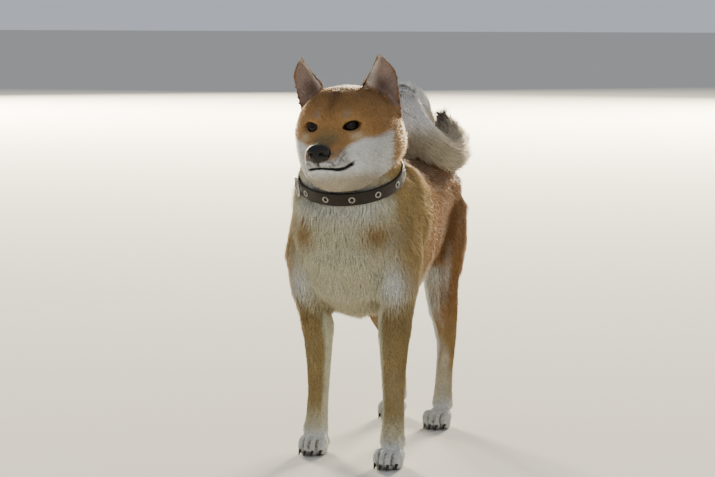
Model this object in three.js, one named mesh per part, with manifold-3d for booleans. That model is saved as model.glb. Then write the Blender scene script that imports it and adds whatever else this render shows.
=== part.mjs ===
// A life-size shiba inu that stands alert in an easy stride, ears up, tail curled to its left, with a leather collar.
// Millimetres. +Z is up, the dog faces -Y and its left side is +X. The outline is that of the coat's tips.
import * as THREE from "three";
import { mergeVertices } from "three/addons/utils/BufferGeometryUtils.js";
import Module from "manifold-3d";

const wasm = await Module();
wasm.setup();

// Driving dimensions
const GAP = 0.4; // clear space between neighbouring solids
const GROWN = 3; // how far a limb's own piece reaches past its surface, into what carries it
const FOREPAW_X = { left: 60, right: 60 };
const HINDPAW_X = { left: 46, right: 36 };
const FORE_SWING = { left: -35, right: 33 }; // how far each paw stands ahead of (-) or behind (+) a square stance
const HIND_SWING = { left: -20, right: 44 };
const SWING_TOP = 300; // height at which a leg swings from the body
const HEAD = { pivot: new THREE.Vector3(0, -165, 420), shift: [8, 0, -5], nod: 0, turn: -0.9, lean: -2.8 }; // mm and degrees
const EYE = { at: [21, -231, 438.5], radius: 10.5, facing: [0.52, -0.85, 0.1], wide: 22, high: 11, slant: 12 };
const COLLAR = { at: [3, -143, 366], tilt: 23, wide: 66, front: 63, back: 66, height: 17, thick: 3.2, eyelets: 9 };
const BUCKLE = { angle: 207, long: 21, high: 24, bar: 3.2, thick: 3 }; // degrees round the neck, and mm
const EYELET = { first: -133, pitch: 29, bore: 1.9, rim: 4.1, proud: 0.9 };

// Colours of the real surfaces
const RED = 0xb5733a;
const CREAM = 0xd9ccb4;
const finish = (color, roughness, metalness = 0) => new THREE.MeshStandardMaterial({ color, roughness, metalness });
const redCoat = finish(RED, 0.9);
const creamCoat = finish(CREAM, 0.9);
const tailCoat = finish(0xa89778, 0.9);
const noseLeather = finish(0x14110f, 0.45);
const eyeGlobe = finish(0x1a0f08, 0.1);
const leather = finish(0x241a14, 0.6);
const steel = finish(0xb9b6ae, 0.3, 1);

// Closed geometry from rings of points: ring(t) gives the points of one ring, and both ends close on the ring's centre.
function closedRings(ring, steps, sides) {
  const rings = Array.from({ length: steps + 1 }, (_, i) => ring(i / steps));
  const centre = (points) => points.reduce((sum, p) => sum.add(p), new THREE.Vector3()).divideScalar(points.length);
  const points = [centre(rings[0]), ...rings.flat(), centre(rings[steps])];
  const last = points.length - 1;
  const index = [];
  const at = (i, j) => 1 + i * sides + (j % sides);
  for (let j = 0; j < sides; j++) {
    index.push(0, at(0, j + 1), at(0, j));
    index.push(last, at(steps, j), at(steps, j + 1));
    for (let i = 0; i < steps; i++) {
      index.push(at(i, j), at(i, j + 1), at(i + 1, j + 1));
      index.push(at(i, j), at(i + 1, j + 1), at(i + 1, j));
    }
  }
  return new THREE.BufferGeometry().setFromPoints(points).setIndex(index);
}

// A manifold solid from a closed geometry, turned to face outwards.
function solid(geometry) {
  const bare = geometry.clone();
  bare.deleteAttribute("normal");
  bare.deleteAttribute("uv");
  const merged = mergeVertices(bare, 1e-3);
  const triVerts = new Uint32Array(merged.index.array);
  const vertProperties = new Float32Array(merged.attributes.position.array);
  const made = new wasm.Manifold(new wasm.Mesh({ numProp: 3, vertProperties, triVerts }));
  if (made.volume() > 0) return made;
  for (let i = 0; i < triVerts.length; i += 3) [triVerts[i + 1], triVerts[i + 2]] = [triVerts[i + 2], triVerts[i + 1]];
  return new wasm.Manifold(new wasm.Mesh({ numProp: 3, vertProperties, triVerts }));
}

function geometryOf(manifold) {
  const mesh = manifold.getMesh();
  const points = [];
  for (let i = 0; i < mesh.numVert; i++) {
    points.push(new THREE.Vector3().fromArray(mesh.vertProperties, i * mesh.numProp));
  }
  return new THREE.BufferGeometry().setFromPoints(points).setIndex([...mesh.triVerts]);
}

const powered = (value, power) => Math.sign(value) * Math.abs(value) ** power;

// A body or limb: oval sections carried along a smooth path. A station is [x, y, z, wide, up, down], where wide is the
// half width across the dog, and up and down are the reaches square to the path, to the back and to the belly (or, on
// a leg, to its rear and its front). full above 2 squares the ovals. The ends are rounded over the share called ends.
function loft(stations, { sides, steps, full = 2.2, ends = [0.06, 0.06], grow = 0 }) {
  const path = new THREE.CatmullRomCurve3(stations.map(([x, y, z]) => new THREE.Vector3(x, y, z)));
  const reach = new THREE.CatmullRomCurve3(stations.map(([, , , wide, up, down]) => new THREE.Vector3(wide, up, down)));
  const start = path.getTangent(0);
  const sense = Math.sign(start.z - 2 * start.y); // keeps the upward reach to the back, or on a leg to its rear
  const ring = (t) => {
    const tangent = path.getTangent(t);
    const across = new THREE.Vector3(1, 0, 0).addScaledVector(tangent, -tangent.x).normalize();
    const upward = new THREE.Vector3().crossVectors(tangent, across).normalize().multiplyScalar(sense);
    const fromEnd = Math.min(1, (t < 0.5 ? t / ends[0] : (1 - t) / ends[1]) + 0.12);
    const rounding = Math.sqrt(1 - (1 - fromEnd) ** 2);
    const size = reach.getPoint(t);
    const centre = path.getPoint(t).addScaledVector(tangent, t === 0 ? -grow : t === 1 ? grow : 0);
    return Array.from({ length: sides }, (_, j) => {
      const angle = (2 * Math.PI * j) / sides;
      const sine = powered(Math.sin(angle), 2 / full);
      const side = (size.x * rounding + grow) * powered(Math.cos(angle), 2 / full);
      const lift = ((sine > 0 ? size.y : size.z) * rounding + grow) * sine;
      return centre.clone().addScaledVector(across, side).addScaledVector(upward, lift);
    });
  };
  return closedRings(ring, steps, sides);
}

// The trunk and neck are one sweep from the buttocks to the back of the head.
const TRUNK = [
  [0, 221, 310, 44, 33, 38],
  [0, 203, 319, 61, 47, 57],
  [0, 165, 326, 73, 53, 74],
  [0, 110, 324, 74, 56, 94],
  [0, 45, 318, 80, 61, 114],
  [0, -20, 312, 87, 70, 130],
  [0, -78, 316, 89, 78, 137],
  [0, -112, 330, 83, 71, 122],
  [1, -130, 346, 74, 63, 90],
  [3, -143, 364, 67, 66, 63],
  [5, -154, 388, 65, 67, 52],
  [6, -158, 412, 59, 63, 44],
  [7, -160, 438, 50, 50, 34],
];
const TRUNK_OPTIONS = { sides: 16, steps: 16, full: 2.2, ends: [0.08, 0.04] };
const NAPE = { at: [0, -148, 394], facing: [0, -0.3, 0.95] }; // where the head ends and the neck begins
const NECK_BASE = { at: [0, -122, 338], facing: [0, -0.62, 0.78] };
const LAST_RIB = { at: [0, -10, 0], facing: [0, -1, 0] };
const LOIN = { at: [0, 112, 0], facing: [0, -1, 0] };

// The head's sections from the nose to the nape, as the face lies level.
const SKULL = [
  [0, -299, 400, 15, 17, 21],
  [0, -290, 401, 21, 20, 28],
  [0, -274, 403, 25.5, 21.5, 35],
  [0, -260, 405, 28.5, 23, 41],
  [0, -248, 406, 34, 27, 46],
  [0, -238, 407, 43, 40, 49],
  [0, -227, 409, 52, 55, 52],
  [0, -211, 411, 61, 69, 55],
  [0, -189, 413, 66, 75, 53],
  [0, -162, 416, 69, 73, 48],
  [0, -138, 419, 66, 67, 45],
  [0, -116, 420, 53, 47, 44],
];
const SKULL_OPTIONS = { sides: 20, steps: 17, full: 2.15, ends: [0.05, 0.12] };
const MOUTH = { at: [0, -296, 388], facing: [0, -0.14, 1], corner: -262 };

// Local swellings and hollows of the head, the same on both sides: [x, y, z, radius, amount].
const FACE_SHAPES = {
  brow: [24, -228, 462, 15, 3],
  eyeHollow: [27, -240, 440, 12, -2],
  stop: [0, -243, 438, 12, -3],
  furrow: [0, -222, 474, 11, -2.5],
  cheek: [56, -205, 402, 28, 4],
  lipPad: [18, -284, 397, 13, 2.5],
};

function swell(geometry, shapes) {
  const position = geometry.attributes.position;
  geometry.computeVertexNormals();
  const normal = geometry.attributes.normal;
  for (let i = 0; i < position.count; i++) {
    const point = new THREE.Vector3().fromBufferAttribute(position, i);
    const way = new THREE.Vector3().fromBufferAttribute(normal, i);
    let amount = 0;
    for (const [x, y, z, radius, by] of Object.values(shapes)) {
      const away = new THREE.Vector3(Math.abs(point.x) - x, point.y - y, point.z - z).length() / radius;
      amount += by * Math.exp(-(away ** 2));
    }
    point.addScaledVector(way, amount);
    position.setXYZ(i, point.x, point.y, point.z);
  }
  return geometry;
}

// Turns a shape of the level head to the head's carriage.
const carriage = new THREE.Matrix4()
  .makeTranslation(HEAD.pivot.clone().add(new THREE.Vector3(...HEAD.shift)))
  .multiply(
    new THREE.Matrix4().makeRotationFromEuler(
      new THREE.Euler(...[HEAD.nod, HEAD.lean, HEAD.turn].map(THREE.MathUtils.degToRad), "ZYX"),
    ),
  )
  .multiply(new THREE.Matrix4().makeTranslation(HEAD.pivot.clone().negate()));
const onHead = (geometry) => geometry.applyMatrix4(carriage);

const LEG_X = { fore: 63, hind: 45 }; // where the paws of a square stance stand
// A leg in a square stance on the left side: x is its distance from the midline.
const FORELEG = [
  [50, -94, 352, 16, 34, 28],
  [59, -106, 305, 26, 50, 50],
  [63, -120, 255, 28, 50, 52],
  [60, -116, 215, 25, 42, 37],
  [57, -110, 178, 21.5, 28, 27],
  [57, -110, 138, 17.5, 19.5, 20],
  [59, -111, 92, 14, 16, 16.5],
  [61, -114, 58, 13.6, 15, 16],
  [63, -120, 32, 17, 16, 18],
  [63, -126, 14, 15, 14, 14],
];
const HINDLEG = [
  [42, 150, 348, 22, 38, 40],
  [50, 152, 305, 31, 58, 60],
  [53, 142, 260, 30, 62, 60],
  [53, 130, 222, 26, 52, 46],
  [52, 150, 176, 20, 30, 31],
  [49, 180, 134, 15, 19, 20],
  [45, 199, 106, 12.5, 17, 16],
  [43.5, 199, 80, 11.8, 13, 13.5],
  [43.5, 194, 50, 12.2, 12, 13.5],
  [44.5, 186, 30, 15, 15, 17],
  [45, 178, 14, 13, 13, 14],
];

// Swings a leg's foot forward or back, and brings it in or out to where the paw stands.
const swung = ([x, y, z, ...sizes], side, swing, pawX) => {
  const share = Math.max(0, 1 - z / SWING_TOP);
  return [side * (x + (pawX - LEG_X[pawX > 50 ? "fore" : "hind"]) * share), y + swing * share, z, ...sizes];
};

// A paw with four toes and their claws, standing on a flat sole. across is its middle, front is where its toes end.
const TOE = { pitch: 9.2, wide: 5.5, high: 11, long: 34, knuckle: 16.5, claw: 6 };
function paw(across, front) {
  const parts = [];
  const pad = [
    [across, front + 62, 9, 10, 8, 11],
    [across, front + 50, 14, 16, 14, 17],
    [across, front + 34, 15, 18.5, 16, 19],
    [across, front + 22, 13, 16, 12, 16],
  ];
  parts.push(solid(loft(pad, { sides: 7, steps: 2, full: 2.4, ends: [0.2, 0.3] })));
  for (let toe = 0; toe < 4; toe++) {
    const place = toe - 1.5;
    const x = across + place * TOE.pitch;
    const set = Math.abs(place) > 1 ? 8 : 0; // the outer toes stand back
    const stations = [
      [across + place * TOE.pitch * 0.75, front + set + TOE.long, 16, 5.5, 8, 15],
      [x, front + set + TOE.long * 0.5, TOE.knuckle, TOE.wide, TOE.high, TOE.knuckle + 5],
      [x, front + set + 8, 12, TOE.wide, 9.5, 17],
      [x, front + set, 8, 4.2, 5, 9],
    ];
    parts.push(solid(loft(stations, { sides: 5, steps: 3, full: 2.3, ends: [0.2, 0.22] })));
    const claw = [
      [x, front + set + 4, 9, 2.2, 2.2, 2.4],
      [x, front + set - TOE.claw / 2, 7, 1.7, 1.8, 1.8],
      [x, front + set - TOE.claw, 3.2, 0.8, 0.8, 0.8],
    ];
    parts.push(solid(loft(claw, { sides: 4, steps: 2, full: 2, ends: [0.1, 0.2] })));
  }
  return wasm.Manifold.union(parts).trimByPlane([0, 0, 1], 0);
}

// The tail rises from the croup, rolls forward over the back, comes down on the left hip and turns its tip up.
const TAIL = [
  [0, 186, 342, 18, 18, 18],
  [-3, 214, 374, 27, 27, 27],
  [-10, 222, 412, 31, 31, 31],
  [-15, 196, 439, 32, 32, 32],
  [-13, 156, 441, 31, 31, 31],
  [9, 122, 416, 31, 31, 31],
  [34, 106, 392, 30, 30, 30],
  [53, 122, 378, 29, 29, 29],
  [60, 149, 385, 27, 27, 27],
  [51, 164, 405, 23, 23, 23],
  [43, 168, 428, 8, 8, 8],
];
const TAIL_OPTIONS = { sides: 9, steps: 17, full: 2, ends: [0.05, 0.08] };
const TAIL_TOP = { at: [-13, 196, 0], facing: [0, 1, 0.001] };

// An ear is a leaf on a slanting base line, cupped forwards.
const EAR = {
  inner: new THREE.Vector3(17.5, -187, 483),
  outer: new THREE.Vector3(66, -153, 446),
  tip: new THREE.Vector3(53, -190, 521),
  sunk: 0.2, // share of its height that stands in the head
  cup: 17,
  thick: 6,
};
function ear(side) {
  const base = EAR.outer.clone().sub(EAR.inner);
  const foot = EAR.inner.clone().lerp(EAR.outer, 0.5);
  const rise = EAR.tip.clone().sub(foot);
  const behind = new THREE.Vector3().crossVectors(rise, base).normalize();
  const ring = (t) =>
    Array.from({ length: 14 }, (_, j) => {
      const angle = (2 * Math.PI * j) / 14;
      const across = Math.cos(angle);
      const outerEdge = Math.sqrt(Math.max(1 - t ** 2.1, 0)); // bows outwards
      const innerEdge = (1 - t) ** 0.85; // runs nearly straight up to the tip
      const taper = Math.max(0.07, across > 0 ? outerEdge : innerEdge);
      const hollow = EAR.cup * (1 - across ** 2) * (1 - 0.8 * t);
      const wall = (EAR.thick / 2) * Math.sin(angle) * (1 - 0.45 * t);
      const point = foot.clone().addScaledVector(rise, t * (1 + EAR.sunk) - EAR.sunk);
      point.addScaledVector(base, 0.5 * across * taper).addScaledVector(behind, hollow + wall);
      point.x *= side;
      return point;
    });
  return onHead(closedRings(ring, 7, 14));
}

// An eye is a ball in a socket that opens through an almond slit.
function eye(side, grow = 0) {
  const ball = new THREE.SphereGeometry(EYE.radius + grow, 12, 8);
  return onHead(ball.translate(side * EYE.at[0], EYE.at[1], EYE.at[2]));
}
function eyeSlit(side) {
  const slit = new THREE.CylinderGeometry(1, 1, 24, 10).rotateX(Math.PI / 2).translate(0, 0, 12);
  slit.scale(EYE.wide / 2, EYE.high / 2, 1).rotateZ(THREE.MathUtils.degToRad(-side * EYE.slant));
  const facing = new THREE.Vector3(side * EYE.facing[0], EYE.facing[1], EYE.facing[2]);
  const place = new THREE.Object3D();
  place.up.set(0, 0, 1);
  place.position.set(side * EYE.at[0], EYE.at[1], EYE.at[2]);
  place.lookAt(facing.add(place.position));
  place.updateMatrix();
  return onHead(slit.applyMatrix4(place.matrix));
}

// The nose leather with its two nostrils.
const NOSE = { at: [0, -298.3, 410.3], half: [13.6, 10.2, 10.8], nostril: [6.6, -307.8, 409], bore: 2.9 };
function nose(grow = 0) {
  const [wide, deep, high] = NOSE.half;
  const ball = new THREE.SphereGeometry(1, 11, 7).scale(wide + grow, deep + grow, high + grow);
  return solid(onHead(ball.translate(...NOSE.at)));
}
function nostrils() {
  return [1, -1].map((side) => {
    const [x, y, z] = NOSE.nostril;
    return solid(onHead(new THREE.SphereGeometry(NOSE.bore, 5, 4).scale(1, 1.2, 0.9).translate(side * x, y, z)));
  });
}

// The collar's own frame: z is along the neck, -y is the throat.
const collarPlace = new THREE.Matrix4()
  .makeTranslation(...COLLAR.at)
  .multiply(new THREE.Matrix4().makeRotationX(THREE.MathUtils.degToRad(COLLAR.tilt)));
const onCollar = (geometry) => geometry.applyMatrix4(collarPlace);
const collarPoint = (angle, out) => {
  const reach = Math.sin(angle) < 0 ? COLLAR.front : COLLAR.back;
  return new THREE.Vector3((COLLAR.wide + out) * Math.cos(angle), (reach + out) * Math.sin(angle), 0);
};
const collarTurn = (angle) => {
  const along = collarPoint(angle + 0.01, 0).sub(collarPoint(angle - 0.01, 0));
  return Math.atan2(along.y, along.x);
};

// A closed band of rectangular section round the neck.
function band(inner, outer, half) {
  const around = 28;
  const corners = [
    [inner, -half],
    [outer, -half],
    [outer, half],
    [inner, half],
  ];
  const points = [];
  const index = [];
  for (let i = 0; i < around; i++) {
    for (const [out, up] of corners) points.push(collarPoint((2 * Math.PI * i) / around, out).setZ(up));
  }
  const at = (i, j) => (i % around) * 4 + (j % 4);
  for (let i = 0; i < around; i++) {
    for (let j = 0; j < 4; j++) {
      index.push(at(i, j), at(i + 1, j), at(i + 1, j + 1));
      index.push(at(i, j), at(i + 1, j + 1), at(i, j + 1));
    }
  }
  return onCollar(new THREE.BufferGeometry().setFromPoints(points).setIndex(index));
}

// A flat piece that lies on the strap at an angle round the neck: its x runs along the strap and its z outwards.
function onStrap(geometry, angle, out) {
  const turn = new THREE.Matrix4().makeRotationZ(collarTurn(angle));
  const lie = new THREE.Matrix4().makeRotationX(Math.PI / 2);
  const spot = collarPoint(angle, out);
  return onCollar(geometry.applyMatrix4(new THREE.Matrix4().makeTranslation(spot).multiply(turn).multiply(lie)));
}

function frameShape(long, high, bar, corner) {
  const rounded = (shape, half, rise, radius) => {
    shape.absarc(half - radius, rise - radius, radius, 0, Math.PI / 2);
    shape.absarc(-half + radius, rise - radius, radius, Math.PI / 2, Math.PI);
    shape.absarc(-half + radius, -rise + radius, radius, Math.PI, 1.5 * Math.PI);
    shape.absarc(half - radius, -rise + radius, radius, 1.5 * Math.PI, 2 * Math.PI);
    return shape.closePath();
  };
  const outline = rounded(new THREE.Shape(), long / 2, high / 2, corner);
  outline.holes.push(rounded(new THREE.Path(), long / 2 - bar, high / 2 - bar, corner / 2));
  return outline;
}
const flatFrame = (long, high, bar, corner, thick) =>
  new THREE.ExtrudeGeometry(frameShape(long, high, bar, corner), {
    depth: thick,
    bevelEnabled: false,
    curveSegments: 3,
  });

const group = new THREE.Group();
function add(name, shape, material) {
  const mesh = new THREE.Mesh(geometryOf(shape.isBufferGeometry ? solid(shape) : shape), material);
  mesh.name = name;
  group.add(mesh);
}
const largest = (manifold) => manifold.decompose().sort((a, b) => b.volume() - a.volume())[0];

// Cuts a solid in two at a plane, with the gap between: first the piece that the plane faces, then the one behind it.
function parted(manifold, { at, facing }) {
  const way = new THREE.Vector3(...facing).normalize();
  const offset = way.dot(new THREE.Vector3(...at));
  const ahead = manifold.trimByPlane(way.toArray(), offset + GAP / 2);
  const behind = manifold.trimByPlane(way.clone().negate().toArray(), -offset + GAP / 2);
  return [largest(ahead), largest(behind)];
}

// The legs, each a sweep with a paw. They part from the trunk along a surface that follows their own shape.
const legs = {};
for (const [name, side] of [["left", 1], ["right", -1]]) {
  legs["foreleg_" + name] = {
    stations: FORELEG.map((station) => swung(station, side, FORE_SWING[name], FOREPAW_X[name])),
    options: { sides: 9, steps: 10, full: 2.2, ends: [0.12, 0.05] },
    paw: paw(side * FOREPAW_X[name], -158 + FORE_SWING[name]),
  };
  legs["hindleg_" + name] = {
    stations: HINDLEG.map((station) => swung(station, side, HIND_SWING[name], HINDPAW_X[name])),
    options: { sides: 9, steps: 11, full: 2.2, ends: [0.12, 0.05] },
    paw: paw(side * HINDPAW_X[name], 131 + HIND_SWING[name]),
  };
}
let body = wasm.Manifold.union([
  solid(loft(TRUNK, TRUNK_OPTIONS)),
  ...Object.values(legs).map((leg) => solid(loft(leg.stations, leg.options))),
]);
body = body.subtract(solid(loft(TAIL, { ...TAIL_OPTIONS, grow: GAP })));
for (const leg of Object.values(legs)) {
  const own = solid(loft(leg.stations, { ...leg.options, grow: GROWN }));
  const room = solid(loft(leg.stations, { ...leg.options, grow: GROWN + GAP }));
  leg.solid = largest(body.intersect(own).add(leg.paw));
  body = body.subtract(room).subtract(leg.paw);
}
body = largest(body);

for (const [name, leg] of Object.entries(legs)) {
  const joint = (fromFoot, facing, lift = 0) => {
    const [x, y, z] = leg.stations[leg.stations.length - fromFoot];
    return { at: [x, y, z + lift], facing };
  };
  if (name.startsWith("fore")) {
    const [shoulder, rest] = parted(leg.solid, joint(6, [0, 0, 1]));
    const [forearm, foot] = parted(rest, joint(2, [0, 0.25, 1], 6));
    add(name + "_shoulder", shoulder, redCoat);
    add(name + "_forearm", forearm, creamCoat);
    add(name + "_paw", foot, creamCoat);
  } else {
    const [thigh, rest] = parted(leg.solid, joint(7, [0, -0.3, 1]));
    const [shin, below] = parted(rest, joint(5, [0, -0.3, 1]));
    const [pastern, foot] = parted(below, joint(2, [0, 0.25, 1], 6));
    add(name + "_thigh", thigh, redCoat);
    add(name + "_shin", shin, redCoat);
    add(name + "_pastern", pastern, creamCoat);
    add(name + "_paw", foot, creamCoat);
  }
}

// The head takes the sweep of the neck above the nape line; the collar lies in the coat of the neck.
const half = COLLAR.height / 2;
const inside = -1.2; // how far the strap presses into the coat
const strapRoom = solid(band(inside - GAP, COLLAR.thick + inside + GAP, half + GAP));
const collarRoom = solid(band(inside - GAP, COLLAR.thick + inside + 12, half + GAP));
const buckleAngle = THREE.MathUtils.degToRad(BUCKLE.angle);
const buckleRoom = solid(
  onStrap(
    new THREE.BoxGeometry(BUCKLE.long + 2 * GAP, BUCKLE.high + 2 * GAP, 14).translate(0, 0, 7),
    buckleAngle,
    COLLAR.thick + inside + 0.1,
  ),
);
const skull = (grow) => solid(onHead(swell(loft(SKULL, { ...SKULL_OPTIONS, grow }), FACE_SHAPES)));
const [neckTop, trunkAndNeck] = parted(body, NAPE);
let head = skull(0).add(neckTop).subtract(strapRoom).subtract(buckleRoom);
for (const side of [1, -1]) {
  head = head.subtract(solid(eye(side, GAP))).subtract(solid(eyeSlit(side)));
}
head = largest(head.subtract(nose(GAP)));
const [neck, trunk] = parted(largest(trunkAndNeck.subtract(skull(GAP)).subtract(collarRoom).subtract(buckleRoom)), NECK_BASE);
const [chest, hindTrunk] = parted(trunk, LAST_RIB);
const [belly, rump] = parted(hindTrunk, LOIN);
const onCarriage = ({ at, facing }) => ({
  at: new THREE.Vector3(...at).applyMatrix4(carriage).toArray(),
  facing: new THREE.Vector3(...facing).transformDirection(carriage).toArray(),
});
const [muzzleAndJaw, cranium] = parted(head, onCarriage({ at: [0, MOUTH.corner, 400], facing: [0, -1, 0.1] }));
const [muzzle, lowerJaw] = parted(muzzleAndJaw, onCarriage(MOUTH));
add("head", cranium, redCoat);
add("muzzle", muzzle, creamCoat);
add("lower_jaw", lowerJaw, creamCoat);
add("nose", nose().subtract(wasm.Manifold.union(nostrils())), noseLeather);
for (const [name, side] of [["left", 1], ["right", -1]]) {
  add("ear_" + name, largest(solid(ear(side)).subtract(skull(GAP))), redCoat);
  add("eye_" + name, eye(side), eyeGlobe);
}
add("neck", neck, creamCoat);
add("chest", chest, creamCoat);
add("belly", belly, redCoat);
add("rump", rump, redCoat);

const [tailBase, tailCurl] = parted(solid(loft(TAIL, TAIL_OPTIONS)), TAIL_TOP);
add("tail_base", tailBase, redCoat);
add("tail_curl", tailCurl, tailCoat);

// The collar: a strap, its eyelets, and on the dog's right the buckle with its prong.
const washer = (outer, hole, thick, sides) => {
  const shape = new THREE.Shape().absarc(0, 0, outer, 0, 2 * Math.PI);
  shape.holes.push(new THREE.Path().absarc(0, 0, hole, 0, 2 * Math.PI));
  return new THREE.ExtrudeGeometry(shape, { depth: thick, bevelEnabled: false, curveSegments: sides });
};
const strapFace = COLLAR.thick + inside; // how far the strap's face stands out from the coat line
for (let i = 0; i < COLLAR.eyelets; i++) {
  const angle = THREE.MathUtils.degToRad(EYELET.first + i * EYELET.pitch);
  add("eyelet_" + (i + 1), solid(onStrap(washer(EYELET.rim, EYELET.bore, EYELET.proud, 4), angle, strapFace + 0.3)), steel);
}
add("collar_strap", solid(band(inside, strapFace, half)), leather);
const onBuckle = (geometry, along, out) =>
  solid(onStrap(geometry.translate(along, 0, 0), buckleAngle, strapFace + out));
add("buckle", onBuckle(flatFrame(BUCKLE.long, BUCKLE.high, BUCKLE.bar, 5, BUCKLE.thick), 0, 0.5), steel);
add("buckle_prong", onBuckle(new THREE.BoxGeometry(BUCKLE.long - 3, 2.6, 2), 0, BUCKLE.thick + 2), steel);

// The origin is on the floor, under the middle of the bounding box.
const box = new THREE.Box3().setFromObject(group);
const middle = box.getCenter(new THREE.Vector3());
group.position.set(-middle.x, -middle.y, -box.min.z);
group.updateMatrixWorld(true);

export default group;
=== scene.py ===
import bmesh
import bpy
import numpy as np
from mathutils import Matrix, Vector
from mathutils.bvhtree import BVHTree


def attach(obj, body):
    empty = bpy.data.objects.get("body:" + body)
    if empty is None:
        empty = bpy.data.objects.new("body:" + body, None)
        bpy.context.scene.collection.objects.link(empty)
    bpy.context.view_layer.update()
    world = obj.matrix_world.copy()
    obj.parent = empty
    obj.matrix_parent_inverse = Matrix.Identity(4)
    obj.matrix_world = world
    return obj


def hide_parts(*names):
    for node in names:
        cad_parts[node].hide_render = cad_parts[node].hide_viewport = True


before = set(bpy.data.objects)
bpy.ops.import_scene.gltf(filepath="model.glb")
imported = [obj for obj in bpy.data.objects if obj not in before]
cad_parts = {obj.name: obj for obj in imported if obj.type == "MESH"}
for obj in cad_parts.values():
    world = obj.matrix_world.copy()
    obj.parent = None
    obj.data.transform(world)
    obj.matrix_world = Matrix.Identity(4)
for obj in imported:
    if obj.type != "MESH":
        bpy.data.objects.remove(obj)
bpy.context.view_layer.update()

# The camera stands about 3.2 m from the dog at knee height and looks a little down on its left front.
# The floor is a plain pale sheet, and soft light falls from the front with a warm one from behind.
PHOTO = (715, 477)
FOCAL_PIXELS = 2496.0
AIM = np.array((0.001, -0.0812, 0.2845))
TURN, LOOK_DOWN = np.radians(16.0), np.radians(5.5)
AWAY = 3.2
SENSOR_WIDE = 36.0
toward = np.array((np.sin(TURN) * np.cos(LOOK_DOWN), -np.cos(TURN) * np.cos(LOOK_DOWN), np.sin(LOOK_DOWN)))


def add_object(name, data):
    """A new object of the scene that holds the data, at the origin."""
    thing = bpy.data.objects.new(name, data)
    bpy.context.collection.objects.link(thing)
    return thing


def set_inputs(node, **values):
    """Sets inputs of a shader node by name, with _ for a space."""
    for name, value in values.items():
        node.inputs[name.replace("_", " ")].default_value = value


def new_material(name, **values):
    """A material with inputs of its shader set by name."""
    material = bpy.data.materials.new(name)
    material.use_nodes = True
    set_inputs(material.node_tree.nodes["Principled BSDF"], **values)
    return material


camera_data = bpy.data.cameras.new("camera")
camera_data.sensor_width = SENSOR_WIDE
camera_data.lens = FOCAL_PIXELS / PHOTO[0] * SENSOR_WIDE
camera = add_object("camera", camera_data)
camera.location = Vector(AIM + toward * AWAY)
camera.rotation_euler = Vector(-toward).to_track_quat("-Z", "Y").to_euler()
bpy.context.scene.camera = camera

FLOOR_HALF = 40.0
floor_corners = [(x * FLOOR_HALF, y * FLOOR_HALF, 0) for x, y in ((-1, -1), (1, -1), (1, 1), (-1, 1))]
floor_mesh = bpy.data.meshes.new("floor")
floor_mesh.from_pydata(floor_corners, [], [(0, 1, 2, 3)])
floor_mesh.materials.append(
    new_material("pale_floor", Base_Color=(0.62, 0.60, 0.56, 1), Roughness=1.0, Specular_IOR_Level=0.0))
floor = add_object("floor", floor_mesh)

sky = bpy.data.worlds.new("studio")
sky.use_nodes = True
set_inputs(sky.node_tree.nodes["Background"], Color=(0.80, 0.86, 0.95, 1), Strength=0.60)
bpy.context.scene.world = sky
WARM = (1.0, 0.90, 0.68)
LIT_PLACE = Vector((0, 0, 0.3))
for name, place, size, power, colour in (
    ("key_light", (1.4, -3.2, 2.2), 2.8, 21, (1.0, 0.98, 0.95)),
    ("back_light", (-6.3, 9.6, 3.0), 2.1, 4500, WARM),
    ("side_light", (0.6, 10.8, 3.3), 2.1, 4500, WARM),
):
    lamp_data = bpy.data.lights.new(name, "AREA")
    lamp_data.size = size
    lamp_data.energy = power
    lamp_data.color = colour
    lamp = add_object(name, lamp_data)
    lamp.location = place
    lamp.rotation_euler = (LIT_PLACE - Vector(place)).to_track_quat("-Z", "Y").to_euler()

# The skin is one closed hide over the whole dog, from the nose to the tail's tip. Copies of the solids of
# flesh are grown into each other, melted into one surface and smoothed, and the hide is then set in by the
# coat's depth.
ORIGIN = np.array((-0.583, 27.872, 0.0))  # mm from the frame's origin to the dog's own
FLESH = ["head", "muzzle", "lower_jaw", "ear_left", "ear_right", "neck", "chest", "belly", "rump",
         "tail_base", "tail_curl"]
for side in ("left", "right"):
    FLESH += [f"foreleg_{side}_{part}" for part in ("shoulder", "forearm", "paw")]
for side in ("left", "right"):
    FLESH += [f"hindleg_{side}_{part}" for part in ("thigh", "shin", "pastern", "paw")]
SOCKET_FILL = ["eye_left", "eye_right", "nose"]
FACE_NODES = ["head", "muzzle", "lower_jaw", "eye_left", "eye_right", "nose"]
VOXEL = 0.0030  # metres across each cell of the melting
GROW, EAR_GROW = 0.0006, 0.0019  # metres that each copy, or an ear's, is grown
SAME_PLACE = 2e-5  # metres under which two corners are one
SOFT_STEPS, EAR_STEPS, COAT_STEPS, SETTLE_STEPS = 26, 10, 34, 4  # of smoothing, in that order


def mesh_arrays(mesh):
    """Vertices as an (n, 3) array and triangles as an (m, 3) array, in the mesh's own units."""
    mesh.calc_loop_triangles()
    points = np.empty(len(mesh.vertices) * 3)
    mesh.vertices.foreach_get("co", points)
    corners = np.empty(len(mesh.loop_triangles) * 3, dtype=np.int64)
    mesh.loop_triangles.foreach_get("vertices", corners)
    return points.reshape(-1, 3), corners.reshape(-1, 3)


def unit(vectors):
    """Each vector divided by its own length."""
    return vectors / np.maximum(np.linalg.norm(vectors, axis=-1, keepdims=True), 1e-12)


def vertex_normals(points, triangles):
    """Sum of the area-weighted normals of the triangles round each vertex, made unit length."""
    a, b, c = (points[triangles[:, k]] for k in range(3))
    face = np.cross(b - a, c - a)
    total = np.stack([sum(np.bincount(triangles[:, k], face[:, axis], len(points)) for k in range(3))
                      for axis in range(3)], axis=1)
    return unit(total)


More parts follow.
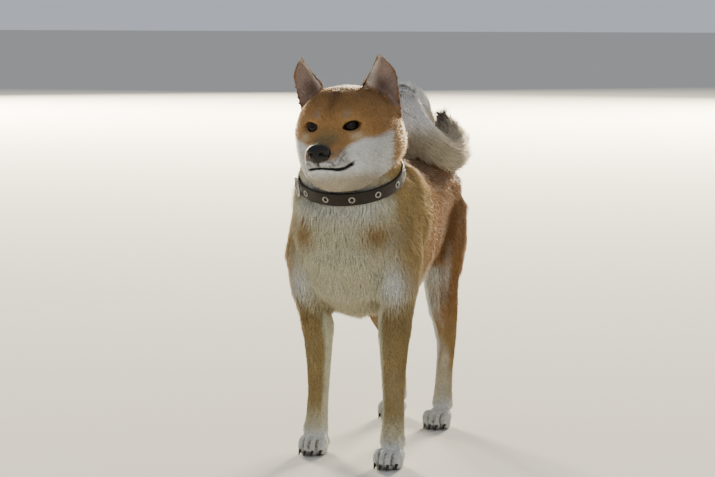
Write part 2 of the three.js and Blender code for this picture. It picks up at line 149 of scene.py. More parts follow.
grown_points, grown_triangles, label_points, label_of_point, offset = [], [], [], [], 0
ear_surfaces = {}
for number, node in enumerate(FLESH + SOCKET_FILL):
    copy = bmesh.new()
    copy.from_mesh(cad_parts[node].data)
    bmesh.ops.remove_doubles(copy, verts=copy.verts, dist=SAME_PLACE)
    melted = bpy.data.meshes.new("copy")
    copy.to_mesh(melted)
    copy.free()
    points, triangles = mesh_arrays(melted)
    bpy.data.meshes.remove(melted)
    label_points.append(points[triangles].mean(axis=1))
    label_of_point.append(np.full(len(triangles), number))
    grow = GROW
    if node.startswith("ear"):
        ear_surfaces[node] = BVHTree.FromPolygons(points.tolist(), triangles.tolist())
        grow = EAR_GROW
    grown_points.append(points + vertex_normals(points, triangles) * grow)
    grown_triangles.append(triangles + offset)
    offset += len(points)
label_points, label_of_point = np.concatenate(label_points), np.concatenate(label_of_point)

rough_mesh = bpy.data.meshes.new("rough_hide")
rough_mesh.from_pydata(np.concatenate(grown_points).tolist(), [], np.concatenate(grown_triangles).tolist())
rough = add_object("rough_hide", rough_mesh)
melt = rough.modifiers.new("melt", "REMESH")
melt.mode = "VOXEL"
melt.voxel_size = VOXEL
whole = bpy.data.meshes.new_from_object(rough.evaluated_get(bpy.context.evaluated_depsgraph_get()))
bpy.data.objects.remove(rough)
bpy.data.meshes.remove(rough_mesh)

# The head is carried a little to one side. Its face and ears are cut finer than the rest of the hide, for the
# lids, lips, nostrils and thin rims.
HEAD_PIVOT = np.array((0.0, -165.0, 420.0))
HEAD_SHIFT = np.array((8.0, 0.0, -5.0))
LEAN, HEAD_TURN = np.radians(-2.8), np.radians(-0.9)
turned = np.array(((np.cos(HEAD_TURN), -np.sin(HEAD_TURN), 0), (np.sin(HEAD_TURN), np.cos(HEAD_TURN), 0),
                   (0, 0, 1)))
leant = np.array(((np.cos(LEAN), 0, np.sin(LEAN)), (0, 1, 0), (-np.sin(LEAN), 0, np.cos(LEAN))))
carry = turned @ leant


def to_dog(points):
    """Metres in the frame to millimetres from the dog's own origin."""
    return points * 1000.0 - ORIGIN


def from_dog(points):
    """Millimetres from the dog's own origin to metres in the frame."""
    return (np.asarray(points) + ORIGIN) / 1000.0


def to_level(points):
    """Dog millimetres to those of the head held level and facing straight ahead: the carriage undone."""
    return (points - HEAD_PIVOT - HEAD_SHIFT) @ carry + HEAD_PIVOT


def from_level(points):
    """Level head millimetres to dog millimetres: turned about the pivot, then shifted."""
    return (np.asarray(points) - HEAD_PIVOT) @ carry.T + HEAD_PIVOT + HEAD_SHIFT


def rise(value, low, high):
    """A smooth step from 0 at low to 1 at high: t squared times 3 minus 2 t."""
    t = np.clip((value - low) / (high - low), 0.0, 1.0)
    return t * t * (3.0 - 2.0 * t)


def fall(value, low, high):
    """The same step down, from 1 at low to 0 at high."""
    return rise(-value, -high, -low)


def bell(value, middle, reach):
    """1 at the middle, less to both sides: e to minus the square of the distance over the reach."""
    return np.exp(-((value - middle) / reach) ** 2)


EYE_CENTRE = np.array((21.0, -231.0, 438.5))
EYE_FACING = unit(np.array((0.52, -0.85, 0.10)))
EYE_RADIUS = 10.5


def to_left_half(level):
    """Level head places, with those of the right half mirrored onto the left: x without its sign."""
    return np.abs(level[:, :1]) * (1, 0, 0) + level * (0, 1, 1)


def from_eye(level):
    """Millimetres from a point near the front of the closer eye, 9 mm out along its facing."""
    return np.linalg.norm(to_left_half(level) - (EYE_CENTRE + EYE_FACING * 9), axis=1)


MOUTH_MIDDLE = (0, -285, 400)
for reach in (40.0, 21.0):
    fine = bmesh.new()
    fine.from_mesh(whole)
    fine.verts.ensure_lookup_table()
    places = np.array([vertex.co for vertex in fine.verts])
    level = to_level(to_dog(places))
    near_eye = from_eye(level) < reach * 0.62
    near_mouth = (level[:, 1] < -236) & (np.linalg.norm(level - MOUTH_MIDDLE, axis=1) < reach * 1.35)
    on_ear = (level[:, 2] > 487) & (reach > 30)
    chosen = near_eye | near_mouth | on_ear
    edges = [edge for edge in fine.edges if chosen[edge.verts[0].index] and chosen[edge.verts[1].index]]
    bmesh.ops.subdivide_edges(fine, edges=edges, cuts=1, use_grid_fill=True, smooth=0.0)
    bmesh.ops.triangulate(fine, faces=[face for face in fine.faces if len(face.verts) > 4])
    fine.to_mesh(whole)
    fine.free()
points, triangles = mesh_arrays(whole)
bpy.data.meshes.remove(whole)


def neighbour_mean(values, edges, count):
    """For each vertex, the mean of the values at the far ends of its edges."""
    far = np.concatenate((edges[:, 1], edges[:, 0]))
    near = np.concatenate((edges[:, 0], edges[:, 1]))
    share = np.bincount(near, minlength=count)
    values = values.reshape(count, -1)
    total = np.stack([np.bincount(near, values[far, k], count) for k in range(values.shape[1])], axis=1)
    return total / np.maximum(share, 1)[:, None]


def nearest_label(places):
    """The number of the solid whose facet centre lies closest, by squared distance, in blocks."""
    found = np.empty(len(places), dtype=int)
    targets = label_points.astype(np.float32)
    squares = (targets ** 2).sum(1)
    for start in range(0, len(places), 2000):
        block = places[start:start + 2000].astype(np.float32)
        found[start:start + 2000] = label_of_point[(squares[None] - 2 * block @ targets.T).argmin(axis=1)]
    return found


def begins(names, *words):
    """Which names begin with one of the words."""
    return np.any([np.char.startswith(names, word) for word in words], axis=0)


pairs = np.sort(np.concatenate((triangles[:, (0, 1)], triangles[:, (1, 2)], triangles[:, (2, 0)])), axis=1)
edges = np.unique(pairs, axis=0)
count = len(points)
labels = nearest_label(points)
names = np.array(FLESH + SOCKET_FILL)[labels]
is_paw = np.char.endswith(names, "paw")
is_ear = begins(names, "ear")
is_head = np.isin(names, FACE_NODES)

# Each foot has four toes side by side, and the hide ends behind their claws. The melted surface is then
# smoothed, least on the ears and paws and most over the trunk.
PAWS = {  # mm across the dog and to the front of its middle toes
    "foreleg_left": (60, -193), "foreleg_right": (-60, -125),
    "hindleg_left": (46, 111), "hindleg_right": (-36, 175),
}
TOE_PITCH, OUTER_TOE_BACK = 9.2, 8.0
dog = to_dog(points)
for leg, (across, front) in PAWS.items():
    on_paw = names == leg + "_paw"
    place = np.clip(np.round((dog[:, 0] - across) / TOE_PITCH + 1.5), 0, 3) - 1.5
    toe_end = front + np.where(np.abs(place) > 1, OUTER_TOE_BACK, 0.0) - 0.6
    dog[:, 1] = np.where(on_paw, np.maximum(dog[:, 1], toe_end), dog[:, 1])
points = from_dog(dog)
softening = np.where(is_paw, 0.22, np.where(is_ear, 0.12, np.where(is_head, 0.45, 1.0)))
is_leg = begins(names, "foreleg", "hindleg")
softening = np.where(is_leg & ~is_paw & (points[:, 2] < 0.21), 0.5, softening)[:, None]


def soften(points, share, steps):
    """Steps of 0.6 towards the mean of each vertex's neighbours and 0.55 back in turn, times its share."""
    for step in range(steps):
        push = 0.6 if step % 2 == 0 else -0.55
        points = points + push * share * (neighbour_mean(points, edges, count) - points)
    return points


points = soften(points, softening, SOFT_STEPS)

EAR_INNER, EAR_OUTER = np.array((17.5, -187.0, 483.0)), np.array((66.0, -153.0, 446.0))
EAR_TIP = np.array((53.0, -190.0, 521.0))
EAR_BASE, EAR_FOOT = EAR_OUTER - EAR_INNER, (EAR_INNER + EAR_OUTER) / 2
EAR_UP = EAR_TIP - EAR_FOOT


def ear_place(level):
    """Height up the ear from 0 to 1 and place across it in half base lines, negative on its inner side: the
    parts along its rise and along its base line."""
    upright = EAR_UP - EAR_BASE * (EAR_UP @ EAR_BASE) / (EAR_BASE @ EAR_BASE)
    own = to_left_half(level) - EAR_FOOT
    height = np.clip(own @ upright / (upright @ upright), 0, 0.98)
    place = (own - height[:, None] * EAR_UP) @ EAR_BASE / (EAR_BASE @ EAR_BASE) * 2
    return height, place


def leaf_width(height):
    """The ear leaf's outer and inner half widths at a height h, in half base lines: 1.12 times the root of
    1 - h to the 2.3, and 1.1 times 1 - h to the 0.8."""
    return 1.12 * np.sqrt(1 - height ** 2.3), 1.1 * (1 - height) ** 0.8


def ear_across(level):
    """Where a place stands across its ear, -1 on the inner edge and 1 on the outer: its place over the leaf's
    own half width at that height."""
    height, place = ear_place(level)
    outer, inner = leaf_width(height)
    width = np.where(place > 0, outer, inner)
    return np.clip(place / np.maximum(width, 0.15), -1.2, 1.2)


# The ears are melted a little too full and then drawn in onto their own leaves, whose tips are rounded out.
for node, surface in ear_surfaces.items():
    leaf = np.flatnonzero(names == node)
    points[leaf] = [surface.find_nearest(Vector(place))[0] for place in points[leaf]]
points = soften(points, is_ear[:, None], EAR_STEPS)
level = to_level(to_dog(points))
height, place = ear_place(level)
wider = 0.3 * rise(height, 0.5, 0.95) + 0.6 * rise(height, 0.8, 1.0)
taller = 0.02 * rise(height, 0.2, 0.9)
spread = (place * wider)[:, None] * EAR_BASE / 2 + taller[:, None] * EAR_UP
spread[:, 0] *= np.sign(level[:, 0])
points = np.where(is_ear[:, None], from_dog(from_level(level + spread)), points)

# How deep the coat lies over the hide, how long its hairs are and how far apart its tufts stand, by
# place: thin on the ears, face and feet, and deepest on the neck and tail. The hide is set in by that
# depth.
COAT = {  # depth, length and spacing in mm
    "head": (4.5, 13, 1.35), "muzzle": (1.3, 4.0, 1.0), "lower_jaw": (1.5, 5, 1.1), "nose": (0.3, 2, 3.0),
    "eye_left": (0.8, 3, 1.2), "eye_right": (0.8, 3, 1.2),
    "ear_left": (0.5, 5, 1.2), "ear_right": (0.5, 5, 1.2),
    "neck": (6.5, 21, 1.6), "chest": (6.5, 21, 1.65), "belly": (6, 22, 1.75), "rump": (6, 22, 1.75),
    "shoulder": (4.8, 17, 1.65), "forearm": (1.2, 9, 1.4),
    "thigh": (5.5, 20, 1.7), "shin": (2.2, 12, 1.5), "pastern": (1.0, 7, 1.4), "paw": (0.4, 4.5, 1.25),
    "tail_base": (6.5, 27, 1.55), "tail_curl": (7, 28, 1.4),
}
parts = [name if name in COAT else name.rsplit("_", 1)[-1] for name in FLESH + SOCKET_FILL]
coat = np.array([COAT[part] for part in parts])[labels]
level = to_level(to_dog(points))
from_nose = np.linalg.norm(level - (0, -300, 405), axis=1)
cheek = rise(np.abs(level[:, 0]), 34, 58) * fall(level[:, 2], 415, 440) * rise(level[:, 1], -238, -200)
face_length = 2.8 + 5.6 * rise(from_nose, 35, 120) + 13 * cheek
face_length = face_length * (0.35 + 0.65 * rise(from_eye(level), 9, 30))
near_lip = np.abs(level[:, 2] - np.where(level[:, 1] < -250, 388.0, 395.0))
face_length = face_length * (1 - 0.4 * fall(near_lip, 2, 6) * fall(level[:, 1], -252, -245))
fringe = np.where(is_ear, fall(ear_across(level), -0.8, -0.35), 0.0)
coat[:, 1] += 7.0 * fringe * fall(level[:, 2], 490, 512)
coat[:, 1] -= 2.4 * is_ear * np.maximum(rise(level[:, 2], 488, 506), rise(ear_across(level), 0.3, 0.8))
coat[is_head, 1] = face_length[is_head]
coat[is_head, 0] = (0.24 * face_length + 0.5)[is_head]
for step in range(COAT_STEPS):
    coat = coat + 0.8 * (neighbour_mean(coat, edges, count) - coat)
normals = vertex_normals(points, triangles)
points = points - normals * coat[:, :1] / 1000.0
settling = 0.5 * (1 - 0.75 * is_head[:, None]) * np.where(is_ear[:, None], 0.1, softening)
for step in range(SETTLE_STEPS):
    points = points + settling * (neighbour_mean(points, edges, count) - points)

# Each eye looks out of an almond slit that slants up to its outer corner. Round it the hide dips behind
# the ball, and its lids stand a little before it.
SLIT_HALF, SLIT_UP, SLIT_DOWN = 12.2, 4.9, 4.3
SLIT_SLANT = np.radians(12)


def eye_plane(places, side):
    """Millimetres along an eye's slit to its outer corner, up across it and out along its facing, each a dot
    product with one of three unit vectors, and the last of those vectors."""
    facing = EYE_FACING * (side, 1, 1)
    outward = -side * unit(np.cross(facing, (0, 0, 1)))
    upward = -side * unit(np.cross(outward, facing))
    along = outward * np.cos(SLIT_SLANT) + upward * np.sin(SLIT_SLANT)
    over = upward * np.cos(SLIT_SLANT) - outward * np.sin(SLIT_SLANT)
    local = places - EYE_CENTRE * (side, 1, 1)
    return local @ along, local @ over, local @ facing, facing


def slit_share(across, up):
    """1 on the lids' edge and less inside: the greater of across over the half width and up over the lid's
    height there, which is one minus the square of across, to the 0.75. It is 2 beyond the corners."""
    reach = np.clip(1 - (across / SLIT_HALF) ** 2, 0.02, 1) ** 0.75
    height = np.where(up > 0, SLIT_UP, SLIT_DOWN) * reach
    beyond = np.abs(across) >= SLIT_HALF
    return np.maximum(np.abs(across) / SLIT_HALF, np.where(beyond, 2.0, np.abs(up) / height))


level = to_level(to_dog(points))
for side in (1, -1):
    across, up, out, facing = eye_plane(level, side)
    radial = np.hypot(across, up)
    share = slit_share(across, up)
    ball = np.sqrt(np.maximum(EYE_RADIUS ** 2 - radial ** 2, 0.0))
    lid = np.maximum(ball, 3.0) + 1.5
    on_lid = bell(np.maximum(share, 1.0), 1.0, 0.55)
    goal = np.where(share < 1.0, ball * 0.55 - 1.0, lid * on_lid + out * (1 - on_lid))
    shift = np.where((radial < 22) & (out > 0), goal - out, 0.0)
    level = level + shift[:, None] * facing

# The lips meet in a groove that runs back from under the nose and turns up at its corner, and a cleft
# parts the upper lip. The hide sinks under the nose leather, and grooves part the toes.
NOSE_CENTRE, NOSE_HALF = np.array((0.0, -298.3, 410.3)), np.array((13.6, 10.2, 10.6))


def mouth_height(back):
    """Height of the lip line: a parabola of the share s of the way from the front to the corner."""
    share = np.clip((back + 303.0) / 53.0, 0, 1)
    return 394.5 - 22.0 * share + 24.0 * share ** 2


level_normals = vertex_normals(points, triangles) @ carry
lip = level[:, 2] - mouth_height(level[:, 1])
on_lip = fall(level[:, 1], -253, -247) * fall(np.abs(level[:, 2] - 388), 15, 20)
groove = -2.2 * bell(lip, 0, 1.5) + 0.9 * bell(lip, 4.5, 2.4) + 0.5 * bell(lip, -4.5, 2.4)
under_nose = fall(level[:, 1], -299, -294) * fall(np.abs(level[:, 2] - 394), 4, 7)
cleft = -1.4 * bell(level[:, 0], 0, 1.0) * under_nose
level = level + level_normals * (groove * on_lip + cleft)[:, None]
reach = np.linalg.norm((level - NOSE_CENTRE) / NOSE_HALF, axis=1)
sink = (reach < 1.14) & (level[:, 1] < -296)
sunk = NOSE_CENTRE + (level - NOSE_CENTRE) * (0.88 / np.maximum(reach, 0.05))[:, None]
level = np.where(sink[:, None], sunk, level)
points = from_dog(from_level(level))
dog = to_dog(points)
toe_gap = np.zeros(len(points))
for leg, (across, front) in PAWS.items():
    on_paw = names == leg + "_paw"
    between = np.abs(dog[:, 0, None] - across - TOE_PITCH * np.array((-1, 0, 1))[None]).min(axis=1)
    near_front = fall(dog[:, 1] - front, 20, 30) * fall(np.abs(dog[:, 0] - across), 14, 17)
    toe_gap = np.where(on_paw, bell(between, 0, 1.25) * near_front * fall(dog[:, 2], 20, 26), toe_gap)
TOE_GAP_DEEP = 0.0015
points = points - vertex_normals(points, triangles) * (TOE_GAP_DEEP * toe_gap)[:, None]

hide_mesh = bpy.data.meshes.new("hide")
hide_mesh.from_pydata(points.tolist(), [], triangles.tolist())
hide = add_object("hide", hide_mesh)
hide_mesh.shade_smooth()
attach(hide, "root")
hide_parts(*FLESH)


# The markings: red over the back, crown and outer legs, cream and white under the jaw, on the cheeks,
# chest, inner legs and feet, and a grey-cream tail with a dark tip, with painted shade and painted light
# over some places. Each tuft takes the colour of its root.
def srgb(red, green, blue):
    """Screen values of 0 to 255 to linear light: each over 255, to the power 2.2."""
    return (np.array((red, green, blue)) / 255.0) ** 2.2


RED, DEEP_RED, FACE_RED = srgb(148, 109, 66), srgb(112, 80, 49), srgb(170, 129, 80)
TAN, CREAM, WHITE = srgb(168, 145, 98), srgb(206, 203, 178), srgb(220, 222, 219)
GREY, DARK, BLACK = srgb(150, 142, 136), srgb(62, 46, 36), srgb(16, 13, 12)
PAD_GREY = srgb(116, 110, 108)
WHISKER_SPOTS = ((36.0, -246.0, 405.0), (57.0, -205.0, 424.0), (25.0, -268.0, 401.0), (28.0, -262.0, 396.0))


def blend(base, colour, share):
    """base moved towards colour by share, place by place."""
    return base + (np.asarray(colour) - base) * share[:, None]


def layered(colour, *layers):
    """A colour with others laid over it in turn, each by its own share."""
    for over, share in layers:
        colour = blend(colour, over, share)
    return colour


def ripple(places, size, seed):
    """A soft uneven pattern from about -1 to 1: 1.6 times the mean of the sines of five turned and scaled
    copies of the place, each bent by a sine of its own."""
    dice = np.random.default_rng(seed)
    total = np.zeros(len(places))
    for _ in range(5):
        way = unit(dice.normal(size=3)) / size * dice.uniform(0.7, 1.5)
        total += np.sin(places @ way + dice.uniform(0, 6.28) + 1.5 * np.sin(places @ way[[1, 2, 0]] * 0.7))
    return total / 5.0 * 1.6


def evenly(colour, places):
    """One colour, repeated for every place."""
    return np.tile(colour, (len(places), 1))


def trunk_colour(places, out, wave):
    """Red that deepens to the rear, with painted shade over the upward-facing back, a cream belly and bib,
    tan shoulders with a redder patch on each, white above the forelegs and at the throat."""
    x, y, z = places.T
    side = np.abs(x)
    # The deeper red towards the rear is the coat's own; the share on upward-facing sides is painted shade
    # over the back.
    deep = 0.75 * rise(y, -60, 20) + 0.25 * rise(out[:, 2], 0.0, 0.8) * rise(y, -120, -20)
    low = fall(z + 10 * wave, 215, 262 - 20 * rise(y, 60, 150))
    bib = fall(out[:, 1], -0.7, -0.15) * fall(y, -110, -60) * fall(side, 52, 78)
    red_patch = np.clip(0.85 * bell(side, 46, 17) * bell(z, 306, 20) + 0.15 * wave, 0, 1)
    white_patch = np.clip(1.2 * bell(side, 64, 13) * bell(z, 236, 26), 0, 1)
    throat = fall(y, -150, -120) * fall(side, 35, 60) * rise(z, 315, 335)
    return layered(
        evenly(RED, places),
        (DEEP_RED, deep + 0.12 * np.abs(wave)),
        (CREAM, low * fall(out[:, 2], -0.5, 0.35)),
        (TAN, 0.92 * fall(out[:, 1], -0.1, 0.6) * fall(y, -100, -40)),
        (CREAM, bib),
        ((RED + TAN) / 2, red_patch * fall(y, -120, -80)),
        (WHITE, 0.9 * white_patch * fall(y, -120, -90)),
        (WHITE, 0.6 * throat))


def foreleg_colour(places, inner, wave, fine_wave):
    """Tan in front and outside, cream on the inside, and white from the wrist down."""
    height = places[:, 2]
    return layered(
        evenly(0.75 * TAN, places),
        (CREAM, np.clip(inner + 0.1 * wave, 0, 1)),
        (CREAM, 0.55 * fall(height, 45, 75)),
        (0.85 * WHITE, 0.85 * fall(height + 3 * fine_wave, 26, 46)))


def hindleg_colour(places, out, inner, wave, fine_wave):
    """Red outside, white in front and inside, then tan, cream from the hock down and a white foot."""
    height = places[:, 2]
    pale = rise(-out[:, 1] + 0.9 * inner + 0.2 * wave, 0.5, 1.15)
    return layered(
        evenly(0.85 * RED, places),
        (0.88 * WHITE, pale),
        (TAN, 0.5 * fall(height, 120, 200) * (1 - inner)),
        (0.8 * CREAM, 0.6 * fall(height + 4 * wave, 60, 100)),
        (0.85 * WHITE, 0.85 * fall(height + 3 * fine_wave, 26, 52)))


def face_colour(places, out, wave):
    """Red with a dark stripe up the forehead and round the eyes, pale grey brow spots over them that carry a
    painted highlight, a dark bridge, white cheeks and jaw, tan behind them, a darker tan under the chin that
    is painted shade on its downward-facing side, and a speckled grey whisker pad with a few dark spots."""
    level = to_level(places)
    side, back, height = np.abs(level[:, 0]), level[:, 1], level[:, 2]
    before = fall(back, -225, -215)
    stripe = bell(level[:, 0], 0, 7) * rise(height, 440, 470)
    cheek_top = 424 + np.where(back < -235, 0.38, 0.13) * (back + 235) + 1.6 * wave
    bridge = fall(side, 10, 17) * fall(back, -262, -244) * rise(height, 409, 415)
    dusky = blend(evenly(TAN, places), DARK, 0.35 + 0.25 * fall(back, -290, -268))
    under = fall(height + 2 * wave, 388, 403)
    shaded_underside = fall((out @ carry)[:, 2], -0.5, 0.3)
    speckle = rise(ripple(places, 1.1, 8), -0.1, 0.5)
    pad = fall(back, -266, -256) * rise(height, 390, 394) * fall(height, 409, 416)
    colour = layered(
        evenly(FACE_RED, places),
        (DEEP_RED, 0.35 * rise(height, 455, 480) + 0.6 * stripe),
        (DEEP_RED, 0.5 * bell(side, 27, 13) * bell(height, 437, 9) * before),
        # Grey spots over the eyes: the dog's brow spots, greyed by a painted highlight.
        (GREY, 0.5 * bell(side, 19, 4.5) * bell(height, 454, 4) * before),
        (WHITE, rise(cheek_top - height, -3, 4) * fall(back + 3 * wave, -200, -186)),
        (dusky, 0.85 * bridge),
        (TAN, 0.6 * rise(back, -190, -174) * fall(height, 415, 440)),
        (WHITE, under * fall(back + 3 * wave, -196, -176)),
        # Painted shade: darker tan on the chin's downward-facing side.
        (0.8 * TAN, 0.65 * fall(height, 374, 390) * shaded_underside),
        (CREAM, 0.45 * bell(side, 33, 7) * bell(height, 427, 5) * fall(back, -225, -205)),
        (PAD_GREY, (0.55 * speckle + 0.3) * pad))
    left_half = np.stack((side, back, height), axis=1)
    for spot in WHISKER_SPOTS:
        colour = blend(colour, DARK, 0.6 * bell(np.linalg.norm(left_half - spot, axis=1), 0, 2.4))
    return colour


def ear_colour(places, out):
    """Red behind and at the rim, and grey-mauve inside, paler to the inner edge, with painted shade darkening
    the hollow.
    """
    level = to_level(places)
    across = ear_across(level)
    # Painted shade: the lining darkens in the ear's hollow.
    hollow = bell(across, 0.1, 0.28) * fall(level[:, 2], 486, 500)
    lining = layered(
        evenly(srgb(150, 130, 122), places),
        (srgb(214, 202, 190), fall(across, -0.7, -0.05)),
        (srgb(96, 74, 66), 0.6 * hollow))
    inside = fall((out @ carry)[:, 1], -0.45, -0.1) * rise(0.93 - np.abs(across), 0.0, 0.2)
    return blend(evenly(0.7 * RED + 0.3 * DEEP_RED, places), lining, inside)


def tail_colour(places, names, wave):
    """Grey-cream, near white on top where painted back light lies on the pale fur, cream on its outer side as
    painted rim light, dark at the tip and red at the root.
    """
    x, y, z = places.T
    return layered(
        evenly(srgb(184, 172, 150), places),
        # Painted back light: the pale fur turns near white on top.
        (srgb(250, 249, 245), rise(z + 6 * wave, 404, 432)),
        # Painted rim light: cream along the tail's outer side.
        (srgb(238, 226, 200), 0.8 * rise(x + 5 * wave, 66, 82)),
        (DARK, 0.9 * bell(x, 48, 17) * bell(z, 416, 20) * rise(y, 128, 150)),
        (RED, fall(z + 4 * wave, 352, 372) * (names == "tail_base")))


def markings_and_painted_light(places, out, names):
    """Each place's colour, in linear light: its part's own markings with their painted shade and light, with
    smooth steps of height from the trunk's to the legs', and a fine unevenness over all."""
    wave, fine_wave = ripple(places, 9.0, 3), ripple(places, 3.0, 5)
    height = places[:, 2]
    inner = rise(-out[:, 0] * np.sign(places[:, 0]), 0.5, 0.95)
    fore = foreleg_colour(places, inner, wave, fine_wave)
    hind = hindleg_colour(places, out, inner, wave, fine_wave)
    colour = layered(
        trunk_colour(places, out, wave),
        (fore, begins(names, "foreleg") * fall(height, 190, 228)),
        (hind, begins(names, "hindleg") * fall(height, 240, 300)))
    colour = np.where(np.isin(names, FACE_NODES)[:, None], face_colour(places, out, wave), colour)
    colour = np.where(begins(names, "ear")[:, None], ear_colour(places, out), colour)
    colour = np.where(begins(names, "tail")[:, None], tail_colour(places, names, wave), colour)
    return np.clip(colour * (1 + 0.07 * fine_wave[:, None]), 0.003, 0.95)


def paint(mesh, colours):
    """Keeps one colour for each vertex in the attribute that the coat and hide materials read."""
    layer = mesh.color_attributes.new("coat_colour", "FLOAT_COLOR", "POINT")
    layer.data.foreach_set("color", np.c_[colours, np.ones(len(colours))].ravel())


# The hide wears the same markings as the coat, with black rims round the eyes, lips and nose, and painted
# shade in the toe gaps.
hide_normals = vertex_normals(points, triangles)
hide_colour = markings_and_painted_light(to_dog(points), hide_normals, names)
for side in (1, -1):
    across, up, out, _ = eye_plane(level, side)
    rim = (np.hypot(across, up) < 16) & (out > 0)
    hide_colour = blend(hide_colour, BLACK, rim * fall(slit_share(across, up), 1.24, 1.42))
lip = level[:, 2] - mouth_height(level[:, 1])
band = 1.3 + 1.5 * np.clip((level[:, 1] + 303) / 53, 0, 1)
in_cleft = bell(level[:, 0], 0, 1.6) * fall(level[:, 1], -298, -292)
hide_colour = layered(
    hide_colour,
    (BLACK, fall(np.abs(lip + 0.6) / band, 0.8, 1.5) * on_lip),
    (DARK, 0.7 * in_cleft * fall(np.abs(level[:, 2] - 396), 4, 7)),
    (BLACK, np.isin(names, ["muzzle", "nose"]) * fall(reach, 1.12, 1.22)),
    # Painted shade in the gaps between the toes.
    (DARK, 0.85 * rise(toe_gap, 0.25, 0.7)))
paint(hide_mesh, hide_colour)


def add_node(nodes, kind, **values):
    """A new shader node of a kind, with inputs set by name."""
    node = nodes.new("ShaderNode" + kind)
    set_inputs(node, **values)
    return node


def painted_colour(nodes):
    """The colour that paint keeps for each vertex."""
    layer = add_node(nodes, "Attribute")
    layer.attribute_name = "coat_colour"
    return layer.outputs["Color"]


def fur_material(name, rough, lumps):
    """The painted colour, mottled with fine noise on Object coordinates, which also bumps the hide."""
    material = new_material(name, Roughness=rough, Specular_IOR_Level=0.18, Sheen_Weight=0.08,
                            Sheen_Roughness=0.4)
    nodes, link = material.node_tree.nodes, material.node_tree.links.new
    shader = nodes["Principled BSDF"]
    place = add_node(nodes, "TexCoord")
    noise = add_node(nodes, "TexNoise", Scale=420.0, Detail=3.0)
    spread = add_node(nodes, "MapRange", From_Min=0.3, From_Max=0.7, To_Min=0.78, To_Max=1.14)
    mottle = add_node(nodes, "VectorMath")
    mottle.operation = "SCALE"
    link(place.outputs["Object"], noise.inputs["Vector"])
    link(noise.outputs["Fac"], spread.inputs["Value"])
    link(painted_colour(nodes), mottle.inputs[0])
    link(spread.outputs["Result"], mottle.inputs["Scale"])
    link(mottle.outputs["Vector"], shader.inputs["Base Color"])
    if lumps:
        bump = add_node(nodes, "Bump", Distance=0.0006, Strength=0.5)
        link(noise.outputs["Fac"], bump.inputs["Height"])
        link(bump.outputs["Normal"], shader.inputs["Normal"])
    return material


hide_mesh.materials.append(fur_material("hide_fur", 0.8, lumps=True))
coat_material = fur_material("coat_fur", 0.6, lumps=False)

# The coat is thousands of overlapping tufts in the lie of the hair: back over the trunk, down the legs,
# from the nose over the face, up the ears and out along the tail. Each tuft is a thin three-sided lock
# with a bent tip. The tail's own path runs along its middle from the root to the tip.
TAIL_PATH = np.array(((0, 186, 342), (-3, 214, 374), (-10, 222, 412), (-15, 196, 439), (-13, 156, 441),
                      (9, 122, 416), (34, 106, 392), (53, 122, 378), (60, 149, 385), (51, 164, 405),
                      (43, 168, 428)), dtype=float)
NOSE_TIP = (0, -304, 402)


def lie_of_hair(places, out, names):
    """The way the hair runs at each place: a direction for each region, with its part along the normal
    removed. On the tail it is the mean of the path's directions, weighted by e to minus the square of the
    distance."""
    x, z = places[:, 0], places[:, 2]
    level = to_level(places)
    front = np.clip(-out[:, 1], 0, 1)
    sinking = 0.32 + 1.3 * front + 0.35 * np.abs(out[:, 0])
    way = np.stack((0.12 * out[:, 0], 1 - 0.9 * front, -sinking), axis=1)
    legs = begins(names, "foreleg", "hindleg")
    down = np.stack((0 * x, np.full_like(x, 0.12), np.full_like(x, -1.0)), axis=1)
    share = np.where(legs, fall(z, 230, 330), 0.0)
    way = blend(way, down, share)
    upper_thigh = np.char.endswith(names, "thigh") & (z > 200)
    way = np.where(upper_thigh[:, None], way + (0, 0.25, -0.5), way)
    way = np.where(np.char.endswith(names, "paw")[:, None], (0.0, -0.85, -0.5), way)
    way = np.where((names == "neck")[:, None], way * (1, 0.6, 1) + (0, 0.1, -0.5), way)
    drop = -0.35 * fall(level[:, 2], 410, 440) * rise(level[:, 1], -250, -205)
    face_way = unit(level - NOSE_TIP) + drop[:, None] * (0, 0, 1)
    way = np.where(np.isin(names, FACE_NODES)[:, None], face_way @ carry.T, way)
    across = ear_across(level)
    lean_out = 0.2 + 0.9 * fall(across, -0.8, -0.3) * fall(out[:, 1], -0.4, 0.0)
    ear_way = np.stack((lean_out * np.sign(x), 0 * x, 0 * x + 1.0), axis=1)
    middle = (EAR_FOOT + EAR_TIP) / 2 * np.stack((np.sign(level[:, 0]), 0 * x + 1, 0 * x + 1), axis=1)
    fan = unit(level - middle) @ carry.T
    ear_way = blend(ear_way, fan, 0.7 * rise(np.abs(across), 0.75, 0.95) * rise(level[:, 2], 500, 512))
    way = np.where(begins(names, "ear")[:, None], ear_way, way)
    tail = begins(names, "tail")
    if tail.any():
        share = np.linspace(0, 1, 12)[:, None]
        stretches = zip(TAIL_PATH, TAIL_PATH[1:])
        fine_path = np.concatenate([start + (end - start) * share for start, end in stretches])
        tangent = unit(np.gradient(fine_path, axis=0))
        apart = ((places[tail, None] - fine_path[None]) ** 2).sum(2)
        way[tail] = np.exp(-(apart - apart.min(axis=1, keepdims=True)) / 500.0) @ tangent
    way = way - out * (way * out).sum(axis=1, keepdims=True)
    return unit(way)


